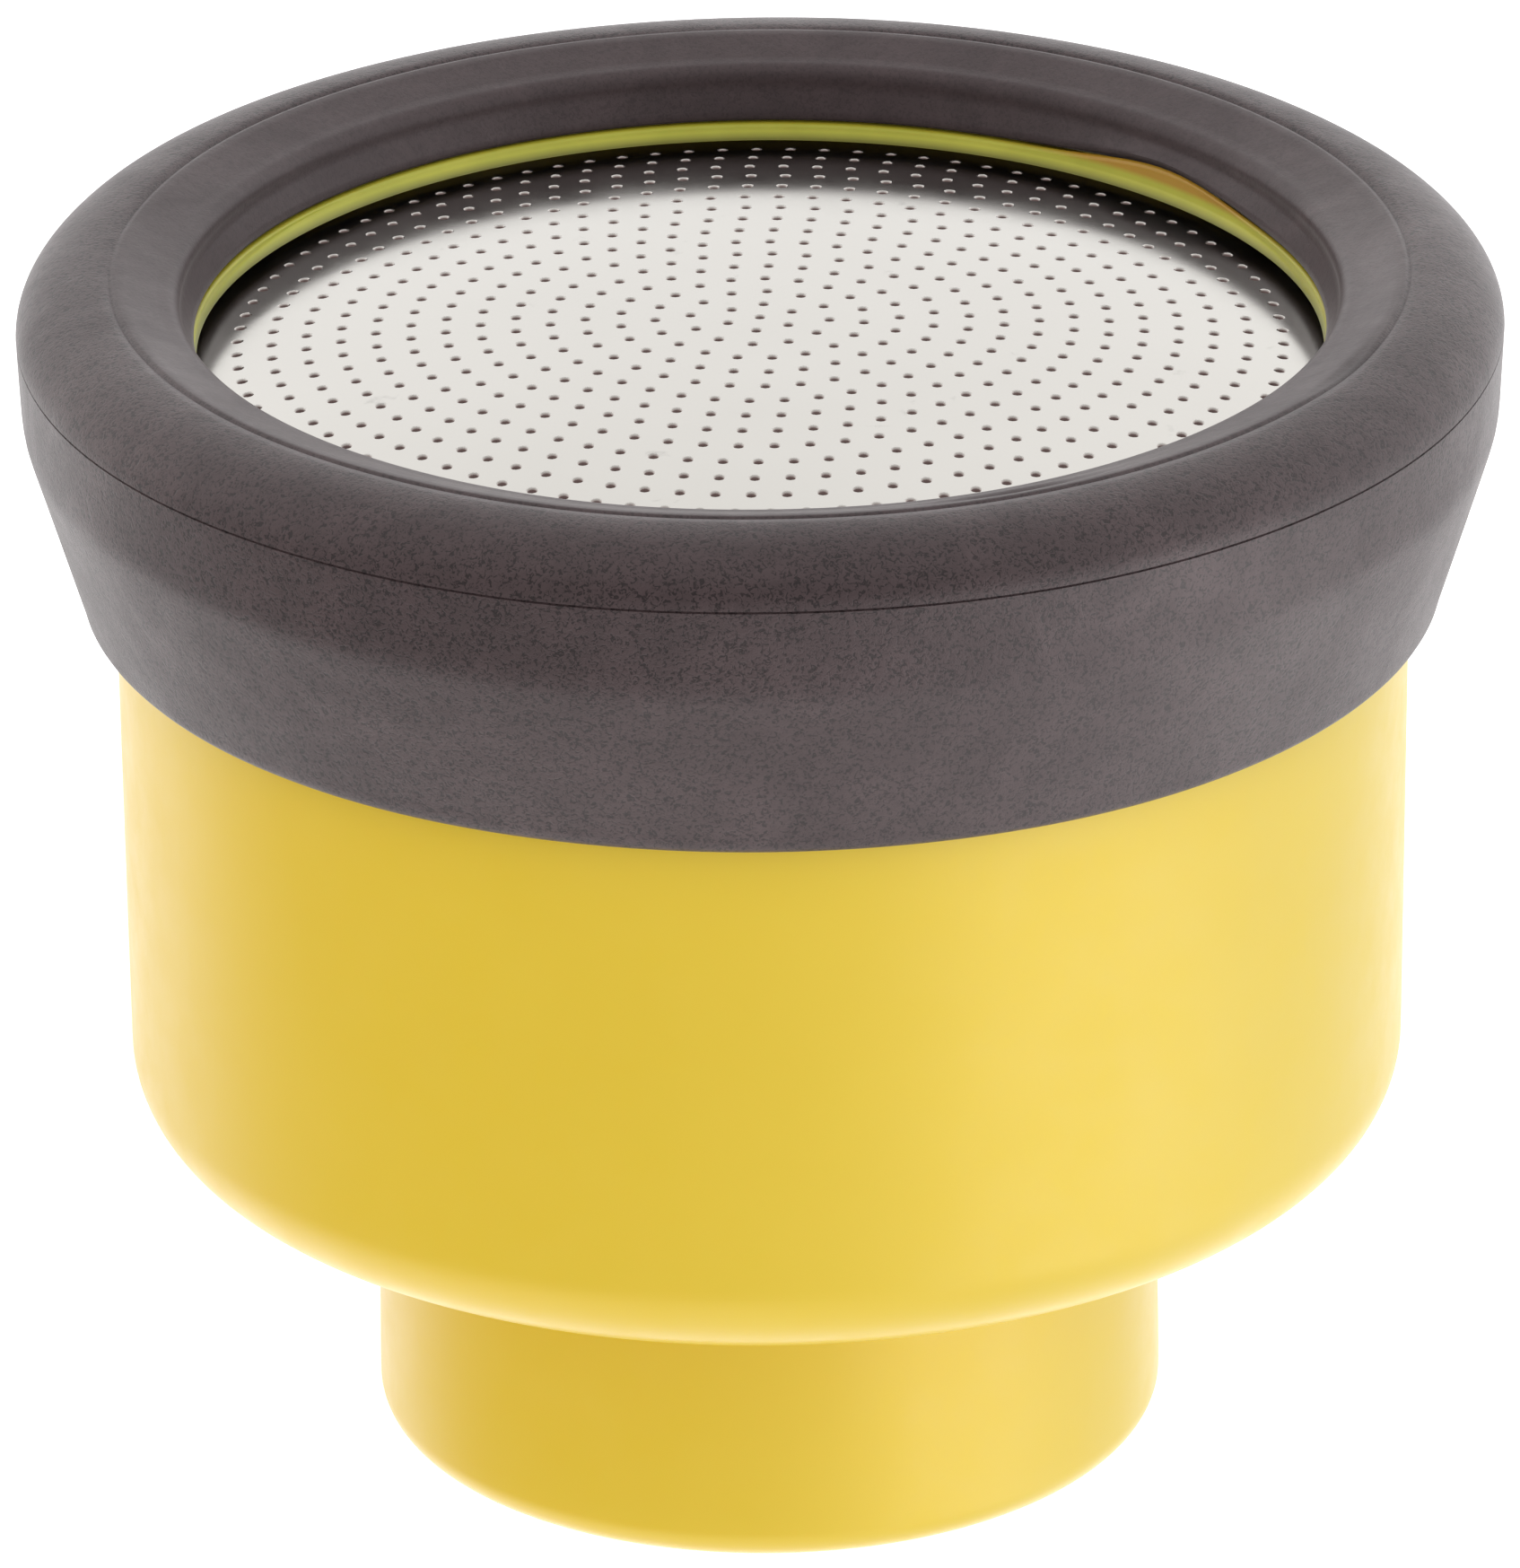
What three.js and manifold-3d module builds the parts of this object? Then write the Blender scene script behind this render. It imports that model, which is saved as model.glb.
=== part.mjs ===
// Hose-end watering rose: a moulded cup on a threaded neck, a soft bumper collar round its mouth and a
// domed, drilled face plate. Millimetres, +Z up. The origin is the centre of the neck's bottom face,
// and +Z is the axis of the whole head, from the hose towards the plate.

import * as THREE from 'three';
import { mergeVertices } from 'three/addons/utils/BufferGeometryUtils.js';
import Module from 'manifold-3d';

const wasm = await Module();
wasm.setup();

// Driving dimensions.
const GAP = 0.2; // clearance between two pieces that rest on each other
const SEGMENTS = 48; // facets round the large turned pieces
const HOLE_PITCH = 1.5875; // distance between two rings of holes, and between holes in a ring
const RING_COUNT = 15; // rings of holes round the centre hole
const HOLE_RADIUS = 0.26;
const FIRST_HOLE = THREE.MathUtils.degToRad(143.8); // every ring of holes starts on this line

const NECK = { radius: 18.2, top: 15.1, draft: 0.15, fillet: 1.6 };
const CUP = { bottomRadius: 29.4, topRadius: 29.7, cornerRadius: 4.2, top: 53.6, floor: 2.6 };
const CHAMBER = { lowRadius: 25.2, highRadius: 26.2, stepZ: 44, ledgeZ: 51.35, mouthRadius: 27.5 };
const THREAD = { rootRadius: 13.6, crestRadius: 12.4, pitch: 2.209, start: 1.6, end: 8.9 };
const SEAT_Z = 13.1; // inner end of the hose socket
const PASSAGE_RADIUS = 9.6;

const PLATE = { crown: 54.3, thickness: 0.5, domeRadius: 25.1, radius: 27.3 };
const DOME = { square: 1.48e-3, fourth: 1.3e-6 }; // how fast the dome falls with the radius
const RING = { innerRadius: 25.15, radius: 27.3, bottom: 53.0, top: 53.75 };
const COLLAR = {
  boreRadius: 26.25, boreTop: 55.4, lipBottom: 53.95,
  bandRadius: 29.2, bandZ: 56.9,
  shoulderWidth: 3.9, shoulderHeight: 2.7, partingRadius: 33.8, partingZ: 54.2,
  creaseRadius: 33.6, creaseZ: 50.0,
  skirtRadius: 31.1, skirtZ: 42.3, skirtBottom: 41.4,
};

const SUPPORT = {
  ribs: 6, ribThickness: 1.5, hubRadius: 4, hubBottom: 48,
  bottom: 44.25, ringHeight: 1.8,
};
const DIFFUSER = {
  radius: 14, thickness: 1.8, bottom: 23.7,
  legs: 4, legRadius: 1.6, legCircle: 11.6,
  holes: 12, holeCircle: 7.5, holeRadius: 1,
};
const WASHER = { radius: 13.2, holeRadius: 8, thickness: 3 };
const STRAINER = { radius: 9.3, thickness: 1.2, bottom: 14.2, holeRadius: 1.1 };

function point(radius, z) {
  return new THREE.Vector2(radius, z);
}

// Points on an elliptical arc in the radius-height plane, with angles in degrees from the outward direction.
function ellipseArc(centreRadius, centreZ, width, height, fromDegrees, toDegrees, steps) {
  const points = [];
  for (let step = 0; step <= steps; step += 1) {
    const angle = THREE.MathUtils.degToRad(fromDegrees + ((toDegrees - fromDegrees) * step) / steps);
    points.push(point(centreRadius + width * Math.cos(angle), centreZ + height * Math.sin(angle)));
  }
  return points;
}

function arc(centreRadius, centreZ, radius, fromDegrees, toDegrees, steps) {
  return ellipseArc(centreRadius, centreZ, radius, radius, fromDegrees, toDegrees, steps);
}

// A turned piece. Its outline closes on itself and runs up the outside and down the inside.
function turned(outline, segments = SEGMENTS) {
  const closed = [...outline, outline[0].clone()];
  return new THREE.LatheGeometry(closed, segments).rotateX(Math.PI / 2);
}

// A flat ring or washer between two heights.
function flatRing(innerRadius, outerRadius, bottom, top, segments = SEGMENTS) {
  return turned([
    point(innerRadius, bottom),
    point(outerRadius, bottom),
    point(outerRadius, top),
    point(innerRadius, top),
  ], segments);
}

// A straight upright rod or hole filler.
function upright(radius, bottom, top, sides, x = 0, y = 0) {
  const height = top - bottom;
  return new THREE.CylinderGeometry(radius, radius, height, sides)
    .rotateX(Math.PI / 2)
    .translate(x, y, bottom + height / 2);
}

function toSolid(geometry) {
  const bare = geometry.clone();
  bare.deleteAttribute('normal');
  bare.deleteAttribute('uv');
  const merged = mergeVertices(bare, 1e-4);
  return new wasm.Manifold(new wasm.Mesh({
    numProp: 3,
    vertProperties: new Float32Array(merged.attributes.position.array),
    triVerts: new Uint32Array(merged.index.array),
  }));
}

function toGeometry(solid) {
  const mesh = solid.getMesh();
  const geometry = new THREE.BufferGeometry();
  geometry.setAttribute('position', new THREE.BufferAttribute(mesh.vertProperties, 3));
  geometry.setIndex(new THREE.BufferAttribute(mesh.triVerts, 1));
  return geometry;
}

function joined(geometries) {
  return geometries.map(toSolid).reduce((whole, next) => whole.add(next));
}

function cut(solid, geometries) {
  return geometries.map(toSolid).reduce((whole, next) => whole.subtract(next), solid);
}

// Places spread evenly round a circle.
function aroundCircle(count, radius, phase = 0) {
  return Array.from({ length: count }, (_, index) => {
    const angle = phase + (2 * Math.PI * index) / count;
    return { angle, x: radius * Math.cos(angle), y: radius * Math.sin(angle) };
  });
}

// Height of the plate's upper face at a radius: a shallow dome, then a flat rim.
function plateHeight(radius) {
  const inside = Math.min(radius, PLATE.domeRadius);
  return PLATE.crown - DOME.square * inside ** 2 - DOME.fourth * inside ** 4;
}

// The hose thread: one helical ridge with a trapezoid section that runs out into the wall at both ends.
function threadRidge() {
  const stepsPerTurn = 20;
  const steps = Math.round(((THREAD.end - THREAD.start) / THREAD.pitch) * stepsPerTurn);
  const runOut = stepsPerTurn / 2;
  const buried = THREAD.rootRadius + 0.4;
  const positions = [];
  const index = [];
  for (let step = 0; step <= steps; step += 1) {
    const angle = (2 * Math.PI * step) / stepsPerTurn;
    const z = THREAD.start + (THREAD.pitch * step) / stepsPerTurn;
    const rise = Math.min(1, step / runOut, (steps - step) / runOut);
    const crest = THREAD.rootRadius + 0.2 - (THREAD.rootRadius + 0.2 - THREAD.crestRadius) * rise;
    const section = [[buried, -0.95], [crest, -0.3], [crest, 0.3], [buried, 0.95]];
    for (const [radius, offset] of section) {
      positions.push(radius * Math.cos(angle), radius * Math.sin(angle), z + offset);
    }
  }
  for (let step = 0; step < steps; step += 1) {
    for (let side = 0; side < 4; side += 1) {
      const a = step * 4 + side;
      const b = step * 4 + ((side + 1) % 4);
      index.push(a, b, a + 4, b, b + 4, a + 4);
    }
  }
  const last = steps * 4;
  index.push(0, 2, 1, 0, 3, 2, last, last + 1, last + 2, last, last + 2, last + 3);
  const ridge = new THREE.BufferGeometry();
  ridge.setAttribute('position', new THREE.Float32BufferAttribute(positions, 3));
  ridge.setIndex(index);
  return ridge;
}

function bodyShell() {
  const corner = CUP.cornerRadius;
  const neckTopRadius = NECK.radius - NECK.draft;
  const outside = [
    point(THREAD.rootRadius + 0.7, 0),
    ...arc(NECK.radius - NECK.fillet, NECK.fillet, NECK.fillet, -90, 0, 3),
    point(neckTopRadius, NECK.top - 0.4),
    point(neckTopRadius + 0.4, NECK.top),
    ...arc(CUP.bottomRadius - corner, NECK.top + corner, corner, -90, 0, 5),
    point(CUP.topRadius, CUP.top - 1),
    point(CUP.topRadius - 0.6, CUP.top),
  ];
  const inside = [
    point(CHAMBER.mouthRadius, CUP.top),
    point(CHAMBER.mouthRadius, CHAMBER.ledgeZ),
    point(CHAMBER.highRadius, CHAMBER.ledgeZ),
    point(CHAMBER.highRadius, CHAMBER.stepZ),
    point(CHAMBER.lowRadius + 0.2, CHAMBER.stepZ),
    point(CHAMBER.lowRadius - 0.2, NECK.top + CUP.floor + 2),
    point(CHAMBER.lowRadius - 2.2, NECK.top + CUP.floor),
    point(PASSAGE_RADIUS, NECK.top + CUP.floor),
    point(PASSAGE_RADIUS, SEAT_Z),
    point(THREAD.rootRadius, SEAT_Z),
    point(THREAD.rootRadius, 0.7),
  ];
  return toGeometry(joined([turned([...outside, ...inside]), threadRidge()]));
}

function bumperCollar() {
  const c = COLLAR;
  const grip = CUP.topRadius + GAP;
  const rollRadius = 0.75;
  const shoulderCentre = c.partingRadius - c.shoulderWidth;
  return turned([
    point(grip, c.skirtBottom + 0.3),
    point(grip + 0.25, c.skirtBottom),
    point(grip + 0.8, c.skirtBottom + 0.15),
    point(c.skirtRadius, c.skirtZ),
    point(c.creaseRadius - 0.25, c.creaseZ - 0.8),
    point(c.creaseRadius, c.creaseZ),
    ...ellipseArc(shoulderCentre, c.partingZ, c.shoulderWidth, c.shoulderHeight, 0, 88, 7),
    point(c.bandRadius, c.bandZ),
    ...arc(c.boreRadius + rollRadius, c.boreTop, rollRadius, 105, 180, 3),
    point(c.boreRadius, c.lipBottom),
    point(grip - 0.4, c.lipBottom),
    point(grip, c.lipBottom - 1),
  ]);
}

// The domed plate. Every fifth ring of holes is cut, so that the solid stays light.
function facePlate() {
  const radii = [PLATE.domeRadius, 20, 14, 7];
  const upper = radii.map((radius) => point(radius, plateHeight(radius)));
  const lower = [...radii].reverse().map((radius) => point(radius, plateHeight(radius) - PLATE.thickness));
  const rim = plateHeight(PLATE.radius);
  const outline = [
    point(0, PLATE.crown - PLATE.thickness),
    ...lower,
    point(PLATE.radius, rim - PLATE.thickness),
    point(PLATE.radius, rim),
    ...upper,
    point(0, PLATE.crown),
  ];
  const blank = toSolid(new THREE.LatheGeometry(outline, SEGMENTS).rotateX(Math.PI / 2));
  const drills = [];
  for (let ring = 5; ring <= RING_COUNT; ring += 5) {
    const radius = ring * HOLE_PITCH;
    const height = plateHeight(radius);
    const count = Math.floor(2 * Math.PI * ring + 0.4);
    for (const { x, y } of aroundCircle(count, radius, FIRST_HOLE)) {
      drills.push(upright(HOLE_RADIUS, height - 1.5, height + 1, 3, x, y));
    }
  }
  return toGeometry(cut(blank, drills));
}

// The clamp ring over the plate's rim: its inner top edge is rolled.
function plateRing() {
  const roll = 0.55;
  return turned([
    point(RING.innerRadius, RING.bottom),
    point(RING.radius, RING.bottom),
    point(RING.radius, RING.top),
    ...arc(RING.innerRadius + roll, RING.top - roll, roll, 90, 180, 3),
  ]);
}

function plateGasket() {
  const top = plateHeight(PLATE.radius) - PLATE.thickness - GAP;
  return flatRing(CHAMBER.highRadius + GAP, PLATE.radius, CHAMBER.ledgeZ + GAP, top);
}

// A spider under the plate: radial ribs whose tops follow the dome, a hub and a ring on the cup's step.
function plateSupport() {
  const ringOuter = CHAMBER.highRadius - GAP;
  const ringInner = CHAMBER.highRadius - 1.8;
  const under = PLATE.thickness + GAP + 0.1;
  const ringTop = SUPPORT.bottom + SUPPORT.ringHeight;
  const rib = new THREE.Shape([
    point(SUPPORT.hubRadius - 1, SUPPORT.hubBottom),
    point(ringInner + 0.6, SUPPORT.bottom),
    point(ringInner + 0.6, ringTop),
    ...[ringInner - 0.6, 18, 10, SUPPORT.hubRadius - 1].map((r) => point(r, plateHeight(r) - under)),
  ]);
  const ribs = aroundCircle(SUPPORT.ribs, 0).map(({ angle }) =>
    new THREE.ExtrudeGeometry(rib, { depth: SUPPORT.ribThickness, bevelEnabled: false })
      .translate(0, 0, -SUPPORT.ribThickness / 2)
      .rotateX(Math.PI / 2)
      .rotateZ(angle));
  return toGeometry(joined([
    upright(SUPPORT.hubRadius, SUPPORT.hubBottom, plateHeight(SUPPORT.hubRadius) - under, 24),
    flatRing(ringInner, ringOuter, SUPPORT.bottom, ringTop),
    ...ribs,
  ]));
}

// A perforated baffle on legs over the inlet.
function diffuserDisc() {
  const floorTop = NECK.top + CUP.floor + GAP;
  const top = DIFFUSER.bottom + DIFFUSER.thickness;
  const legs = aroundCircle(DIFFUSER.legs, DIFFUSER.legCircle, Math.PI / 4).map(({ x, y }) =>
    upright(DIFFUSER.legRadius, floorTop, DIFFUSER.bottom + 0.5, 12, x, y));
  const disc = joined([upright(DIFFUSER.radius, DIFFUSER.bottom, top, 40), ...legs]);
  const holes = aroundCircle(DIFFUSER.holes, DIFFUSER.holeCircle).map(({ x, y }) =>
    upright(DIFFUSER.holeRadius, DIFFUSER.bottom - 1, top + 1, 6, x, y));
  return toGeometry(cut(disc, holes));
}

// A moulded inlet strainer: a disc with one centre hole and two rings of holes.
function inletStrainer() {
  const top = STRAINER.bottom + STRAINER.thickness;
  const places = [{ x: 0, y: 0 }, ...aroundCircle(6, 3.2), ...aroundCircle(12, 6.4, Math.PI / 12)];
  const holes = places.map(({ x, y }) =>
    upright(STRAINER.holeRadius, STRAINER.bottom - 1, top + 1, 6, x, y));
  return toGeometry(cut(toSolid(upright(STRAINER.radius, STRAINER.bottom, top, 40)), holes));
}

function hoseWasher() {
  const top = SEAT_Z - GAP;
  return flatRing(WASHER.holeRadius, WASHER.radius, top - WASHER.thickness, top, 40);
}

const yellowPlastic = new THREE.MeshStandardMaterial({ color: 0xe0c34a, roughness: 0.35, metalness: 0 });
const charcoalRubber = new THREE.MeshStandardMaterial({ color: 0x5a5150, roughness: 0.8, metalness: 0 });
const stainless = new THREE.MeshStandardMaterial({ color: 0xd6d4cf, roughness: 0.25, metalness: 1 });
const limePlastic = new THREE.MeshStandardMaterial({ color: 0xc3c24c, roughness: 0.45, metalness: 0 });
const blackRubber = new THREE.MeshStandardMaterial({ color: 0x232323, roughness: 0.85, metalness: 0 });
const whitePlastic = new THREE.MeshStandardMaterial({ color: 0xdad8d0, roughness: 0.5, metalness: 0 });

const pieces = [
  ['body_shell', bodyShell(), yellowPlastic],
  ['bumper_collar', bumperCollar(), charcoalRubber],
  ['face_plate', facePlate(), stainless],
  ['plate_ring', plateRing(), limePlastic],
  ['plate_gasket', plateGasket(), blackRubber],
  ['plate_support', plateSupport(), whitePlastic],
  ['diffuser_disc', diffuserDisc(), whitePlastic],
  ['inlet_strainer', inletStrainer(), whitePlastic],
  ['hose_washer', hoseWasher(), blackRubber],
];

const wateringRose = new THREE.Group();
for (const [name, geometry, material] of pieces) {
  const mesh = new THREE.Mesh(geometry, material);
  mesh.name = name;
  wateringRose.add(mesh);
}

export default wateringRose;
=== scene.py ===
"""Hose-end watering rose: yellow cup, charcoal bumper collar, domed drilled steel plate.

Outlines are drawn in millimetres in the row frame, and everything Blender holds is in metres.
"""
import math

import bpy
from mathutils import Matrix, Vector, geometry, noise


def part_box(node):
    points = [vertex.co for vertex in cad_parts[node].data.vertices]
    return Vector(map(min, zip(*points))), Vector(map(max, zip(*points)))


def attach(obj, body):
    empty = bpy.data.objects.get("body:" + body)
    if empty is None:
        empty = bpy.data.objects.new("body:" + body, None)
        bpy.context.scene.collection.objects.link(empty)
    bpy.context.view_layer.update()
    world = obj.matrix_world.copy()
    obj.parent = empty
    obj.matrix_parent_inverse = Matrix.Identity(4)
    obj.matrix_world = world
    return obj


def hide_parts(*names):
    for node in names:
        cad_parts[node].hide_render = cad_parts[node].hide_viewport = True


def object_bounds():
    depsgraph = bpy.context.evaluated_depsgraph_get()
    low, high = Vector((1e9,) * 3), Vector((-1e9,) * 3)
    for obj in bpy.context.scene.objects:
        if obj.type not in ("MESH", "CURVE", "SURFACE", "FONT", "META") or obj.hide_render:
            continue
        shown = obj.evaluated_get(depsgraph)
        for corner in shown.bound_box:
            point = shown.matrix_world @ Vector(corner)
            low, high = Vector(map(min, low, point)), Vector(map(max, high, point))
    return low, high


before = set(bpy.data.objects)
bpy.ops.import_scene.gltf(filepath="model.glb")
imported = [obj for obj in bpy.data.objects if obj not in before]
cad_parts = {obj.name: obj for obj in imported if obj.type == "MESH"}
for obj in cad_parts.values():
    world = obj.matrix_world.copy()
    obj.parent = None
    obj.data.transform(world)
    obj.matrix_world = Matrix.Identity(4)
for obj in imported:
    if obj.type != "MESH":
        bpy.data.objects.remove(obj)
cad_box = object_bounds()

MM = 0.001
ROUND = 256  # steps round a large turned surface


def box_mm(node):
    """Lowest and highest corner of a CAD node in millimetres."""
    low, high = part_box(node)
    return low / MM, high / MM


collar_low, collar_high = box_mm("bumper_collar")
body_low, body_high = box_mm("body_shell")
plate_low, plate_high = box_mm("face_plate")
ring_low, ring_high = box_mm("plate_ring")
gasket_low, gasket_high = box_mm("plate_gasket")
support_low, support_high = box_mm("plate_support")
diffuser_low, diffuser_high = box_mm("diffuser_disc")
strainer_low, strainer_high = box_mm("inlet_strainer")
washer_low, washer_high = box_mm("hose_washer")

COLLAR_RADIUS = collar_high.x
BODY_RADIUS = body_high.x
PLATE_RADIUS = plate_high.x
PLATE_CROWN = plate_high.z
PLATE_THICKNESS = 0.5
DOME_RADIUS = 25.1
DOME_SQUARE = 1.48e-3
DOME_FOURTH = 1.3e-6

HOLE_PITCH = 1.5875
HOLE_RINGS = 15
HOLE_RADIUS = 0.21
DIMPLE_RADIUS = 0.3
HOLE_SIDES = 12
HOLE_LEVELS = [(0.26, 0.03, 22.0), (HOLE_RADIUS, 0.08, 38.0),
               (HOLE_RADIUS, PLATE_THICKNESS, 85.0)]  # radius, depth and lean of the wall in degrees
EDGE_STEPS = 240
FIRST_HOLE = math.radians(143.8)

SEAM_RADIUS = 29.5  # moulded line on the collar's top
RUB_DEGREES = -26.0  # where the collar's top is rubbed dark
FOLD_DEGREES = -67.0  # where it is slightly folded

THREAD_PITCH = 2.209
THREAD_ROOT = 13.6
THREAD_DEPTH = 1.2
THREAD_START = 1.6
THREAD_END = 8.9


# Outlines -----------------------------------------------------------------------------------------


def ellipse_arc(centre_r, centre_z, width, height, start, end, steps):
    """Points on an elliptical arc, with angles in degrees from the outward direction."""
    points = []
    for step in range(steps + 1):
        angle = math.radians(start + (end - start) * step / steps)
        points.append((centre_r + width * math.cos(angle), centre_z + height * math.sin(angle)))
    return points


def arc(centre_r, centre_z, radius, start, end, steps):
    return ellipse_arc(centre_r, centre_z, radius, radius, start, end, steps)


def line(start, end, steps):
    """Points from start to end, without the end."""
    points = []
    for step in range(steps):
        t = step / steps
        points.append((start[0] + (end[0] - start[0]) * t, start[1] + (end[1] - start[1]) * t))
    return points


def plate_height(radius):
    """Height of the plate's upper face: a shallow dome, then a flat rim."""
    inside = min(radius, DOME_RADIUS)
    return PLATE_CROWN - DOME_SQUARE * inside**2 - DOME_FOURTH * inside**4


# Meshes -------------------------------------------------------------------------------------------


def new_object(name, vertices, faces, sharp_degrees=35.0):
    """A smooth-shaded mesh object from vertices in millimetres."""
    mesh = bpy.data.meshes.new(name)
    mesh.from_pydata([(x * MM, y * MM, z * MM) for x, y, z in vertices], [], faces)
    mesh.validate()
    mesh.shade_smooth()
    mesh.set_sharp_from_angle(angle=math.radians(sharp_degrees))
    made = bpy.data.objects.new(name, mesh)
    bpy.context.scene.collection.objects.link(made)
    return made


def turned(outline, steps=ROUND, warp=None):
    """Vertices and faces of a closed outline turned about Z. warp(angle, radius, z) may move each point."""
    vertices = []
    count = len(outline)
    for turn in range(steps):
        angle = 2 * math.pi * turn / steps
        cosine, sine = math.cos(angle), math.sin(angle)
        for radius, z in outline:
            if warp:
                radius, z = warp(angle, radius, z)
            vertices.append((radius * cosine, radius * sine, z))
    faces = []
    for turn in range(steps):
        here = turn * count
        there = ((turn + 1) % steps) * count
        for index in range(count):
            after = (index + 1) % count
            faces.append((here + index, there + index, there + after, here + after))
    return vertices, faces


def revolved(name, outline, steps=ROUND, warp=None, sharp_degrees=35.0):
    return new_object(name, *turned(outline, steps, warp), sharp_degrees)


def together(shapes):
    """Several (vertices, faces) shapes as one."""
    vertices, faces = [], []
    for more_vertices, more_faces in shapes:
        start = len(vertices)
        vertices += more_vertices
        faces += [tuple(start + index for index in face) for face in more_faces]
    return vertices, faces


def rounded_ring(inner, outer, low, high, edge, steps=128, centre=(0.0, 0.0)):
    """A flat ring with rounded edges. An inner radius of 0 makes a disc or a rod."""
    outline = [
        *arc(outer - edge, low + edge, edge, -90, 0, 3),
        *arc(outer - edge, high - edge, edge, 0, 90, 3),
    ]
    if inner > 0:
        outline += arc(inner + edge, high - edge, edge, 90, 180, 3)
        outline += arc(inner + edge, low + edge, edge, 180, 270, 3)
    else:
        outline += [(0.0, high), (0.0, low)]
    vertices, faces = turned(outline, steps)
    return [(x + centre[0], y + centre[1], z) for x, y, z in vertices], faces


def finish_piece(piece, node, body, material):
    """Gives a piece its material and slot, and lets it stand for its CAD node."""
    piece.data.materials.clear()
    piece.data.materials.append(material)
    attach(piece, body)
    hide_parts(node)


# Materials ----------------------------------------------------------------------------------------


class Graph:
    """Short calls for building a node tree."""

    def __init__(self, tree, coordinates):
        self.tree = tree
        self.place = tree.nodes.new("ShaderNodeTexCoord").outputs[coordinates]

    def link(self, source, target):
        self.tree.links.new(source, target)

    def noise(self, scale, detail=4.0, roughness=0.55, distortion=0.0, place=None):
        node = self.tree.nodes.new("ShaderNodeTexNoise")
        node.inputs["Scale"].default_value = scale
        node.inputs["Detail"].default_value = detail
        node.inputs["Roughness"].default_value = roughness
        node.inputs["Distortion"].default_value = distortion
        self.link(place or self.place, node.inputs["Vector"])
        return node.outputs["Fac"]

    def ramp(self, source, stops):
        node = self.tree.nodes.new("ShaderNodeValToRGB")
        ramp = node.color_ramp
        while len(ramp.elements) < len(stops):
            ramp.elements.new(0.5)
        for element, (position, colour) in zip(ramp.elements, stops):
            element.position = position
            element.color = (*colour, 1.0)
        self.link(source, node.inputs["Fac"])
        return node.outputs["Color"]

    def grey(self, source, stops):
        return self.ramp(source, [(position, (value,) * 3) for position, value in stops])

    def range(self, source, from_low, from_high, to_low, to_high):
        node = self.tree.nodes.new("ShaderNodeMapRange")
        for socket, value in zip(("From Min", "From Max", "To Min", "To Max"),
                                 (from_low, from_high, to_low, to_high)):
            node.inputs[socket].default_value = value
        self.link(source, node.inputs["Value"])
        return node.outputs["Result"]

    def math(self, operation, first, second):
        node = self.tree.nodes.new("ShaderNodeMath")
        node.operation = operation
        for socket, value in zip(node.inputs, (first, second)):
            if isinstance(value, (int, float)):
                socket.default_value = value
            else:
                self.link(value, socket)
        return node.outputs["Value"]

    def mix(self, factor, first, second, blend="MIX"):
        node = self.tree.nodes.new("ShaderNodeMix")
        node.data_type = "RGBA"
        node.blend_type = blend
        for socket, value in ((node.inputs["Factor"], factor), (node.inputs["A"], first),
                              (node.inputs["B"], second)):
            socket = self.colour_socket(node, socket)
            if isinstance(value, (int, float)):
                socket.default_value = value
            elif isinstance(value, tuple):
                socket.default_value = (*value, 1.0)
            else:
                self.link(value, socket)
        return next(output for output in node.outputs if output.type == "RGBA")

    @staticmethod
    def colour_socket(node, socket):
        """The Mix node lists one socket of each name per data type; this picks the one in use."""
        return next((other for other in node.inputs if other.name == socket.name and other.enabled), socket)

    def split(self):
        node = self.tree.nodes.new("ShaderNodeSeparateXYZ")
        self.link(self.place, node.inputs["Vector"])
        return node.outputs["X"], node.outputs["Y"], node.outputs["Z"]


class Nodes(Graph):
    """A procedural material around one Principled shader."""

    def __init__(self, name):
        self.material = bpy.data.materials.new(name)
        self.material.use_nodes = True
        super().__init__(self.material.node_tree, "Object")
        self.shader = self.tree.nodes["Principled BSDF"]

    def bump(self, heights):
        """Adds bumps from (height, strength, distance in metres) and feeds the shader's normal."""
        normal = None
        for height, strength, distance in heights:
            node = self.tree.nodes.new("ShaderNodeBump")
            node.inputs["Strength"].default_value = strength
            node.inputs["Distance"].default_value = distance
            self.link(height, node.inputs["Height"])
            if normal is not None:
                self.link(normal, node.inputs["Normal"])
            normal = node.outputs["Normal"]
        self.link(normal, self.shader.inputs["Normal"])

    def set(self, **values):
        for name, value in values.items():
            socket = self.shader.inputs[name.replace("_", " ").title().replace("Ior", "IOR")]
            socket.default_value = (*value, 1.0) if isinstance(value, tuple) else value


def yellow_plastic():
    """Satin moulded plastic with faint flow clouds and an orange-peel surface."""
    n = Nodes("body_plastic")
    clouds = n.noise(38.0, 5.0, 0.6)
    colour = n.ramp(clouds, [(0.3, (0.690, 0.492, 0.018)), (0.7, (0.715, 0.515, 0.025))])
    n.link(colour, n.shader.inputs["Base Color"])
    n.link(n.range(n.noise(320.0, 6.0, 0.7), 0.3, 0.7, 0.28, 0.38), n.shader.inputs["Roughness"])
    n.set(subsurface_weight=0.06, subsurface_scale=0.002)
    n.bump([(n.noise(900.0, 3.0, 0.5), 0.05, 0.00005)])
    return n.material


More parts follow.
